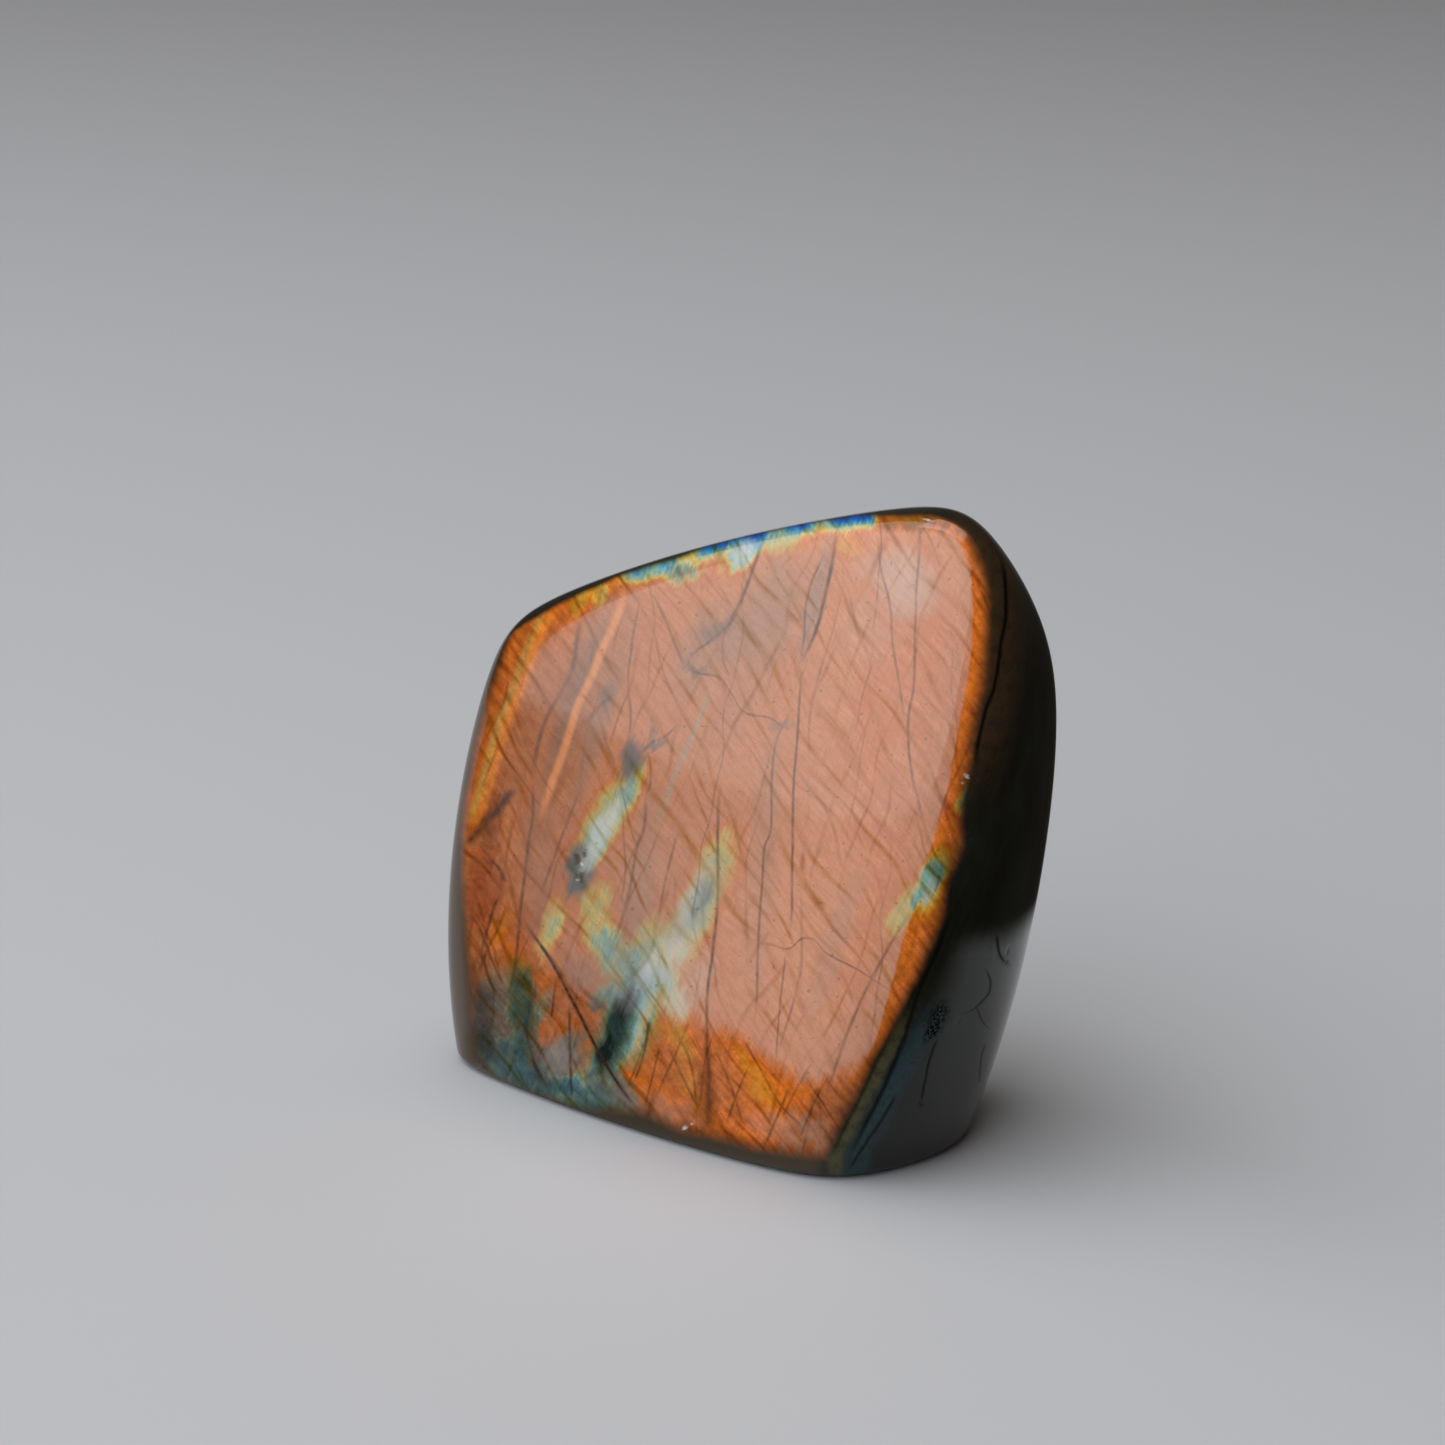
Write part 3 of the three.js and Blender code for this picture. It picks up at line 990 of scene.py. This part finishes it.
def lay_ribbons(at, flash):
    """The ribbons along the twin planes, left of the middle."""
    at.place = ((at.wander - 0.5) * 2 + at.x, at.y)
    across_gold, gold_share, _ = across_line(at.place, GOLD_RIBBON)
    at.gold = ramp(across_gold, 12, 4) * band(gold_share, 0.5, 0.53, 0.44)
    olive = ramp(at.x - curve(at.y, [(py, px) for px, py in GOLD_RIBBON]), 2.5, -6)
    flash = mix(at.gold * 0.85, flash, mix(olive, GOLD, OLIVE))
    at.across_orange, orange_share, _ = across_line(at.place, ORANGE_RIBBON)
    at.orange = ramp(at.across_orange, 7, 1) * band(orange_share, 0.5, 0.54, 0.36)
    across_pale, pale_share, _ = across_line(at.place, PALE_RIBBON)
    pale = ramp(across_pale, 5, 1, 0, 0.55) * band(pale_share, 0.5, 0.52, 0.25)
    return mix(pale, flash, PALE_GREEN)


def flash_brightness(at):
    """Shades with painted shade toward the left and painted light low on the face, clouds, and fibres
    and grain that show most outside the painted reflection.
    """
    at.grain = noise(at.sight, 0.45, 3, 0.7)
    # Painted shade darkens the flash toward the left.
    brightness = curve(at.x, PAINTED_SHADE_TO_LEFT) + patch_sum(at.patch_place, SHADES)
    at.mottle = noise(at.sight, 0.085, 3, 0.6)
    brightness = brightness + (at.drift - 0.5) * ramp(at.x, 640, 480, 0.32, 0.6)
    brightness = brightness + (at.clouds - 0.5) * 0.16
    brightness = brightness + (1 - at.sheen) * 0.14 + at.gold * 0.3
    texture = (at.mottle - 0.5) * ramp(at.sheen, 1, 0, 0.3, 1.15)
    texture = texture + (at.fibres - 0.5) * ramp(at.sheen, 1, 0, 0.3, 0.7)
    texture = texture + (at.grain - 0.5) * 0.48 + (at.feather_fine - 0.5) * 0.18
    return math_node("MULTIPLY_ADD", texture, largest(brightness, 0.1), brightness)


def flash_colour(at):
    """The flash with its ribbons, haze, painted shade, painted highlights and painted reflection, before
    its veins and cracks.
    """
    order = flash_order(at)
    flash = colour_ramp(order, SPECTRUM)
    # Low on the left the colours meet in a grey murk.
    turning = band(order, 0.54, 0.17, 0.05) * ramp(at.x, 690, 600)
    murk = turning * ramp(at.y, 940, 1010)
    flash = lay_ribbons(at, flash)
    brightness = flash_brightness(at)
    flash = scaled(flash, largest(brightness, 0.05))
    haze = patch_sum(at.patch_place, HAZES)
    haze = haze + ramp(at.across_orange, 18, 8, 0, 0.16) + murk * 0.6
    flash = mix(haze, flash, scaled(linear(HAZE)[:3], largest(brightness, 0.1)))
    flash = mix(patch_sum(at.patch_place, SMUDGES), flash, SMUDGE)
    flash = mix(at.orange * 0.9, flash, ORANGE)
    # Pale patches of flash, and painted highlights.
    flash = mix(patch_sum(at.patch_place, PALE_FLASH_AND_HIGHLIGHTS), flash, PALE_FLASH_AND_GLINT)
    # The painted reflection's white, with more of it low on the face.
    painted_sheen_share = curve(at.x, PAINTED_SHEEN_SHARE) + ramp(at.y, 760, 900, 0, 0.08)
    return mix(at.sheen * painted_sheen_share, flash, PAINTED_SHEEN)


def veined(at, colour):
    """Cleavage veins: barbs that run down to the right, and steeper ones up to the right."""
    barbs = long_veins(at.bent, *BARBS)
    steep_barbs = long_veins(at.bent, *STEEP_BARBS)
    fine_barbs = veins(at.bent, *FINE_BARBS, FINE_BARB_WIDTH)
    risers = long_veins(at.bent, *RISERS)
    long_cracks = long_veins(at.bent, *LONG_CRACKS)
    vein_share = ramp(at.drift, 0.34, 0.6, 0.4, 1.15) * ramp(at.sheen, 1, 0, 1, 1.7)
    gold_veins = barbs * 0.62 + fine_barbs * 0.16
    colour = mix(gold_veins * vein_share, colour, VEIN_GOLD, "MULTIPLY")
    brown_veins = largest(steep_barbs * 0.44, risers * 0.4)
    colour = mix(brown_veins * vein_share, colour, VEIN_BROWN, "MULTIPLY")
    # Cracks show greyer under the painted reflection.
    at.crack_colour = mix(at.sheen, CRACK_BROWN, CRACK_GREY)
    return mix(long_cracks * ramp(at.drift, 0.35, 0.6, 0.16, 0.46), colour, at.crack_colour)


def dark_stone(at):
    """The dark stone that carries the flash, with its rims, a painted reflection on the left rim, and
    the glow past the right edge.
    """
    cloud = noise(at.in_mm, 0.06, 4, 0.6)
    cleavage = streaks((at.mm_x + at.mm_y * 0.6, at.mm_z), 62, 0.9, 14, 60)
    light = ramp(cloud, 0.42, 0.74) * 0.55 + ramp(cleavage, 0.45, 0.75) * 0.25
    body = mix(light, BODY_DARK, mix(at.seen, BODY_BACK, BODY_PALE))

    at.past_right = at.line_x - curve(at.line_y, FLASH_RIGHT)
    brown_glow = band(at.past_right, 14, 40, 8) * band(at.y, 640, 190, 70)
    brown_glow = brown_glow * ramp(at.mottle, 0.3, 0.6, 0.45, 0.8) * at.seen
    body = mix(brown_glow, body, BROWN_GLOW)
    at.past_low = at.line_y - curve(at.line_x, FLASH_BOTTOM)
    # The left rim: its own brown, lightened by painted reflection.
    left_rim_brown_and_reflection = ramp(at.x, 500, 474) * at.seen
    body = mix(left_rim_brown_and_reflection * 0.8, body, LEFT_RIM_BROWN_AND_REFLECTION)
    rim_low = ramp(at.past_low, -8, 4) * ramp(at.past_right, 10, -10) * at.seen
    body = mix(rim_low, body, RIM_LOW)
    stripe_low = ramp(at.y, 985, 1060) * at.seen
    gold_stripe = band(at.past_right, 13, 12, 2) * stripe_low
    gold_stripe = gold_stripe * ramp(at.mottle, 0.3, 0.62, 0.4, 1)
    teal_stripe = band(at.past_right, 34, 24, 2) * stripe_low
    body = mix(teal_stripe * ramp(at.mottle, 0.3, 0.6, 0.35, 0.8), body, TEAL_STRIPE)
    return mix(gold_stripe * 0.8, body, GOLD_STRIPE)


def flash_share(at):
    """1 where the flash shows, 0 where only the dark stone does."""
    top = ramp(at.top_depth, 0, 7)
    right = ramp(at.past_right + (at.wander - 0.5) * 8, 8, -12)
    left = ramp(at.line_x - curve(at.line_y, FLASH_LEFT), -7, 6)
    low = ramp(at.past_low, 8, -13)
    return smallest(top, right, left, low) * at.seen


def cracked(at, colour, lit):
    """Cracks and specks in the flash, and the painted glints."""
    cracks = lines_on(at.place, CRACKS) * lit * ramp(at.drift, 0.36, 0.56, 0.7, 1.15)
    cracks = cracks * ramp(at.shake, 0.3, 0.6, 0.75, 1)
    colour = mix(cracks, colour, at.crack_colour)
    specks = ramp(noise(at.sight, 0.17, 0), 0.76, 0.84) * lit
    colour = mix(specks * 0.35, colour, at.crack_colour)
    at.plain_place = patch_terms(at.x, at.y)
    # Painted glints, where light would catch the inclusion, chips and arris.
    painted_glints = patch_sum(at.plain_place, PAINTED_GLINTS) * ramp(at.grain, 0.3, 0.6) * at.seen
    return mix(painted_glints, colour, PALE_FLASH_AND_GLINT)


def broken_polish(at):
    """1 where the polish of the dark end is cracked or broken."""
    broken = patch_sum(at.plain_place, BROKEN_POLISH) * ramp(at.grain, 0.4, 0.56)
    return largest(lines_on((at.line_x, at.line_y), SIDE_LINES), broken) * at.seen


def with_back_flash(at, colour):
    """The unseen back and ends: a quieter flash in the dark stone."""
    streak = streaks((at.mm_x, at.mm_z), 60, 1.4, 18, 71)
    field = noise(at.in_mm, 0.028, 3, 0.55)
    order = field * 1.15 - 0.12 + (streak - 0.5) * 0.22
    sheet = noise(at.in_mm, 0.022, 2) + (streak - 0.5) * 0.22
    glow = ramp(sheet, 0.46, 0.6) * ramp(at.mm_y, 4, 16)
    flash = scaled(colour_ramp(order, SPECTRUM), 0.55)
    return mix(glow * (1 - at.seen) * 0.6, colour, flash)


def stone_material():
    """The polished stone: dark feldspar with flash colours, cracks and cleavage lines in it."""
    material = start_material("polished_labradorite")
    at = skin_place()
    flash = veined(at, flash_colour(at))
    body = dark_stone(at)
    lit = flash_share(at)
    colour = cracked(at, mix(lit, body, flash), lit)
    broken = broken_polish(at)
    colour = with_back_flash(at, colour)

    shader = node("ShaderNodeBsdfPrincipled")
    feed(shader.inputs["Base Color"], colour)
    underneath = ramp(at.mm_z, 0.25, 0, 0, UNDERSIDE_MATT)
    polish = ramp(at.clouds, 0.3, 0.8, POLISH_BEST, POLISH_WORST)
    feed(shader.inputs["Roughness"], polish + underneath)
    shader.inputs["IOR"].default_value = STONE_IOR

    # Where the polish is broken the stone is matt and near black.
    matt = node("ShaderNodeBsdfDiffuse")
    matt.inputs["Color"].default_value = linear(CRACK_BLACK)
    blend_shaders(broken, shader, matt)
    return material


# --------------------
# The stage: a pale floor, dark cards, soft lights and the camera.

FLOOR_SIZE = 6000
FLOOR_COLOUR = (203, 206, 211)
FLOOR_ROUGHNESS = 0.7
FLOOR_SHINE = 0.2
WORLD_COLOUR = (120, 108, 98)
WORLD_STRENGTH = 0.35

# Soft boxes: bearing and rise in degrees, distance, width and height in metres, radiance, colour.
LIGHTS = {
    "window": (-125, 36, 1.5, 3.6, 2.3, 1.4, (0.98, 0.985, 1)),
    "overhead": (-95, 86, 1.4, 1, 1, 2.4, (1, 0.99, 0.97)),
}

# Dark cards that only the stone's polish sees, for the dark parts of the photo's room. Two are
# walls, with the points they stand on, their height and how far their edges fade.
CARD_COLOUR = (50, 46, 40)
RIGHT_WALL = [
    (-60, 112), (-12, 91), (17, 84), (36, 78), (51, 69), (62, 59), (73, 45), (80, 32), (85, 18),
    (88, 2), (90, -18), (98, -60), (116, -150), (200, -290),
]
RIGHT_WALL_HEIGHT = 260
RIGHT_WALL_TOP_FADE = 110
RIGHT_WALL_FOOT_FADE = 9
RIGHT_WALL_END_FADE = 90
LEFT_WALL = [(-560, -425), (-690, -260), (-720, 0), (-720, 260)]
LEFT_WALL_HEIGHT = 800
LEFT_WALL_TOP_FADE = 300
LEFT_WALL_END_FADE = 260

# The third lies just above the floor, under the stone and in front of it (-Y). Where its back edge
# runs, as x, y in mm, how soft that edge is, and how the card thins out toward the far front.
FLOOR_CARD = [(-1400, -1400), (200, -1400), (200, 40), (-1400, 40)]
FLOOR_CARD_RISE = 0.3
FLOOR_CARD_EDGE = [
    (-1400, -420), (-600, -170), (-250, -66), (-116, -40), (-60, -22), (-50, -17), (20, -24),
    (43, -22), (55, -17), (73, -5), (88, 4), (110, 12),
]
FLOOR_CARD_SOFT = [(-250, 14), (-116, 8), (0, 5), (43, 20), (110, 22)]
FLOOR_CARD_FAR = -1400
FLOOR_CARD_FULL = -300
FLOOR_CARD_FAR_COVER = 0.4


def make_floor():
    half = FLOOR_SIZE / 2
    material = bpy.data.materials.new("floor")
    material.use_nodes = True
    shader = material.node_tree.nodes["Principled BSDF"]
    shader.inputs["Base Color"].default_value = linear(FLOOR_COLOUR)
    shader.inputs["Roughness"].default_value = FLOOR_ROUGHNESS
    shader.inputs["Specular IOR Level"].default_value = FLOOR_SHINE
    corners = [(-half, -half, 0), (half, -half, 0), (half, half, 0), (-half, half, 0)]
    floor = add_piece("floor", corners, [(0, 1, 2, 3)], material)


def right_wall_cover(x, y, z):
    start = RIGHT_WALL[0][0]
    foot = ramp(z, 0, RIGHT_WALL_FOOT_FADE)
    top = ramp(z, RIGHT_WALL_HEIGHT, RIGHT_WALL_HEIGHT - RIGHT_WALL_TOP_FADE)
    return foot * top * ramp(x, start, start + RIGHT_WALL_END_FADE)


def left_wall_cover(x, y, z):
    end = LEFT_WALL[-1][1]
    top = ramp(z, LEFT_WALL_HEIGHT, LEFT_WALL_HEIGHT - LEFT_WALL_TOP_FADE)
    return top * ramp(y, end, end - LEFT_WALL_END_FADE)


def floor_cover(x, y, z):
    inside = (curve(x, FLOOR_CARD_EDGE) - y) / curve(x, FLOOR_CARD_SOFT)
    return ramp(inside, -1, 1) * ramp(y, FLOOR_CARD_FAR, FLOOR_CARD_FULL, FLOOR_CARD_FAR_COVER, 1)


def make_card(name, points, faces, cover):
    """A dark card that only the stone's polish sees, with soft edges: clear where cover is 0."""
    material = start_material(name)
    place = object_place()
    dark = node("ShaderNodeBsdfDiffuse")
    dark.inputs["Color"].default_value = linear(CARD_COLOUR)
    blend_shaders(cover(*parts_of(place)), node("ShaderNodeBsdfTransparent"), dark)
    card = add_piece(name, points, faces, material)
    card.visible_camera = False
    card.visible_diffuse = False
    card.visible_shadow = False
    card.visible_transmission = False


def make_wall_card(name, feet, height, cover):
    low = [(x, y, 0) for x, y in feet]
    high = [(x, y, height) for x, y in feet]
    count = len(feet)
    faces = [(i, i + 1, count + i + 1, count + i) for i in range(count - 1)]
    make_card(name, low + high, faces, cover)


def make_cards():
    make_wall_card("card_right", RIGHT_WALL, RIGHT_WALL_HEIGHT, right_wall_cover)
    make_wall_card("card_left", LEFT_WALL, LEFT_WALL_HEIGHT, left_wall_cover)
    flat = [(x, y, FLOOR_CARD_RISE) for x, y in FLOOR_CARD]
    make_card("card_floor", flat, [(0, 1, 2, 3)], floor_cover)


def aim(thing, place, away):
    """Stands a light or camera at a place in mm, facing back along the direction away."""
    thing.location = Vector(place * MM)
    thing.rotation_mode = "QUATERNION"
    thing.rotation_quaternion = Vector(away).to_track_quat("Z", "Y")
    bpy.context.scene.collection.objects.link(thing)


def make_light(name, bearing, rise, distance, width, height, radiance, colour):
    """A rectangular soft box that faces the stone."""
    light = bpy.data.lights.new(name, "AREA")
    light.shape = "RECTANGLE"
    light.size = width
    light.size_y = height
    light.energy = radiance * math.pi * width * height
    light.color = colour
    box = bpy.data.objects.new(name, light)
    box.visible_camera = False
    away = direction(bearing, rise)
    aim(box, away * distance / MM + (0, 0, HEART_HEIGHT), away)


def make_world():
    world = bpy.data.worlds.new("room")
    world.use_nodes = True
    background = world.node_tree.nodes["Background"]
    background.inputs["Color"].default_value = linear(WORLD_COLOUR)
    background.inputs["Strength"].default_value = WORLD_STRENGTH
    bpy.context.scene.world = world


def make_camera():
    data = bpy.data.cameras.new("photo_camera")
    data.lens = LENS
    data.sensor_width = SENSOR_WIDTH
    camera = bpy.data.objects.new("photo_camera", data)
    aim(camera, camera_place, toward_camera)
    bpy.context.scene.camera = camera


stone = make_stone()
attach(stone, "root")
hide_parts("labradorite")

make_floor()
make_cards()
make_world()
for light_name, light_settings in LIGHTS.items():
    make_light(light_name, *light_settings)
make_camera()
bpy.context.scene.view_settings.view_transform = "Standard"
